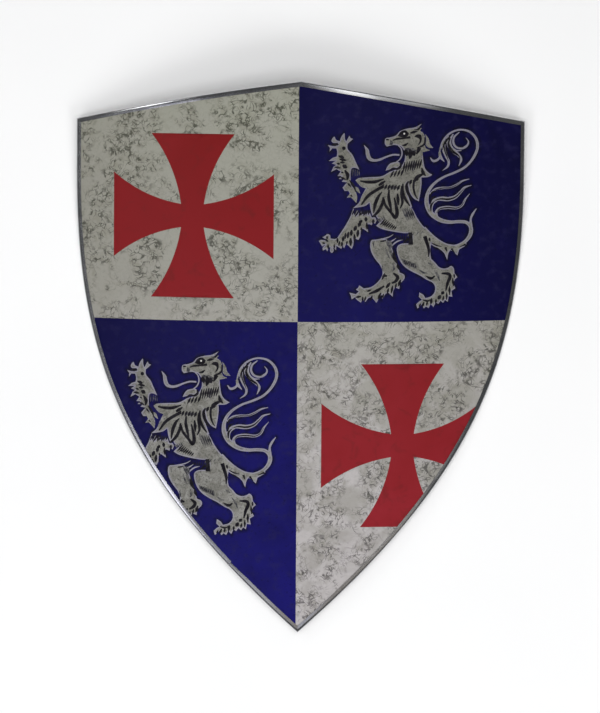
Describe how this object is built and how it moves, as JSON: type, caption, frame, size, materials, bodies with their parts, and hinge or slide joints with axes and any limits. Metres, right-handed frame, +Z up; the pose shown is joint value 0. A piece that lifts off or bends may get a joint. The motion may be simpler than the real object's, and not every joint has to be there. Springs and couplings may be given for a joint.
{
  "type": "heater shield",
  "caption": "Heater-shaped shield of sheet steel with an even bow and a folded bright edge strip, its face painted with quartered arms; it lies face up on its side edges.",
  "frame": {"origin": "centre of the box's underside, on the floor that the shield lies on", "axes": "+Z up, out of the painted face; +Y along the shield's length towards its top edge; +X towards a viewer's right"},
  "size_m": [0.4802, 0.588, 0.0673],
  "materials": {
    "painted_sheet": "satin print on sheet steel: mottled off-white and dark blue quarters, red crosses, silver-grey lions; plain steel at the back",
    "bright_strip": "bright drawn strip, folded and lightly dinted"
  },
  "bodies": {
    "root": {"plate": "painted_sheet", "rim": "bright_strip"}
  },
  "joints": []
}
